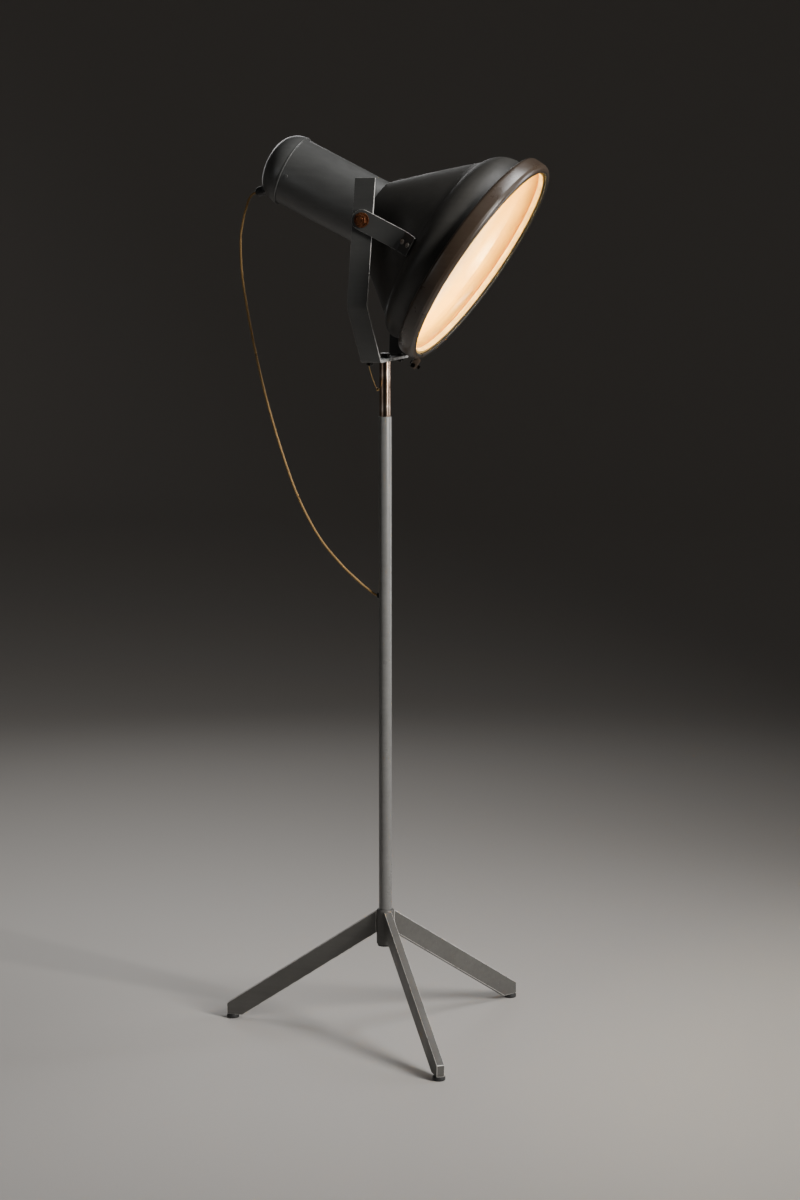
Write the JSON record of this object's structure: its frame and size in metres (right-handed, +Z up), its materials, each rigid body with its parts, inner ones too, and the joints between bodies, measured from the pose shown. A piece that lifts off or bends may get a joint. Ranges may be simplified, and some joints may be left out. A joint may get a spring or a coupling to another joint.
{
  "type": "tripod floor lamp",
  "caption": "Floor lamp on a three-legged stand, with a conical spotlight head tilting in a U-shaped yoke on a sliding, turning mast.",
  "frame": {"origin": "centre of the stand on the floor, below the pole", "axes": "+Z up along the pole, +X towards the way the head shines at rest, +Y to its left"},
  "size_m": [0.6282, 0.595, 1.7143],
  "materials": {
    "pole_paint": "satin light grey paint",
    "housing_paint": "satin mid grey paint",
    "enamel": "charcoal enamel outside, cream-white enamel inside",
    "bar_paint": "charcoal paint worn bright at the edges",
    "mast_steel": "worn bare steel with a copper tint",
    "bright_steel": "plain",
    "black_oxide": "blackened, glossy",
    "rusty_steel": "rusted copper brown",
    "black_rubber": "matt",
    "cream_seal": "pale silicone, yellowed",
    "black_plastic": "matt",
    "white_plastic": "off-white",
    "porcelain": "glazed ceramic, modelled as gloss plastic",
    "brass": "bright",
    "clear_glass": "clear",
    "bulb_glass": "frosted, lit warm",
    "braid": "golden-brown braided textile"
  },
  "bodies": {
    "stand": {"hub": "pole_paint", "hub_plug": "black_plastic", "leg_back": "pole_paint", "leg_left": "pole_paint", "leg_right": "pole_paint", "glides": "black_rubber", "pole": "pole_paint", "pole_grommet": "black_rubber", "lock_nut": "pole_paint", "lock_screw": "bright_steel", "pole_lead": "braid", "cord_lower": "braid"},
    "mast_bush": {"mast_bush": "white_plastic", "cord_middle": "braid"},
    "mast": {"mast": "mast_steel", "mast_plug": "bright_steel", "yoke": "bar_paint", "yoke_washer": "black_oxide", "yoke_bolt": "black_oxide", "bond_bolts": "black_oxide", "bond_nuts": "black_oxide", "bond_screw": "brass", "bond_wire": "brass", "cord_upper": "braid"},
    "head": {"housing": "housing_paint", "rear_cap": "housing_paint", "housing_screws": "housing_paint", "gland_body": "black_plastic", "gland_nut": "black_plastic", "shade": "enamel", "clamp_ring": "enamel", "gasket": "cream_seal", "glass": "clear_glass", "clamp_screw": "rusty_steel", "strap_left": "bar_paint", "strap_right": "bar_paint", "strap_screws": "bright_steel", "strap_nuts": "bright_steel", "pivot_bolts": "rusty_steel", "pivot_washers": "rusty_steel", "pivot_nuts": "rusty_steel", "holder_plate": "bright_steel", "lamp_holder": "porcelain", "bulb_cap": "brass", "bulb": "bulb_glass", "terminal_block": "white_plastic", "head_lead": "braid", "holder_wires": "white_plastic"},
    "wing_nut": {"wing_nut": "rusty_steel"}
  },
  "joints": [
    {"name": "mast_height", "type": "slide", "parent": "stand", "child": "mast_bush", "axis": [0, 0, 1], "range_m": [-0.045, 0.025], "deforming": ["cord_lower"]},
    {"name": "mast_pan", "type": "hinge", "parent": "mast_bush", "child": "mast", "pos_m": [0, 0, 1], "axis": [0, 0, 1], "range_deg": [-90, 90], "deforming": ["cord_middle"]},
    {"name": "head_tilt", "type": "hinge", "parent": "mast", "child": "head", "pos_m": [0, 0, 1.559], "axis": [0, 1, 0], "range_deg": [-60, 4], "deforming": ["cord_upper"]},
    {"name": "wing_nut_spin", "type": "hinge", "parent": "head", "child": "wing_nut", "pos_m": [0.0565, 0, 1.28878], "axis": [0, 1, 0], "continuous": true}
  ]
}
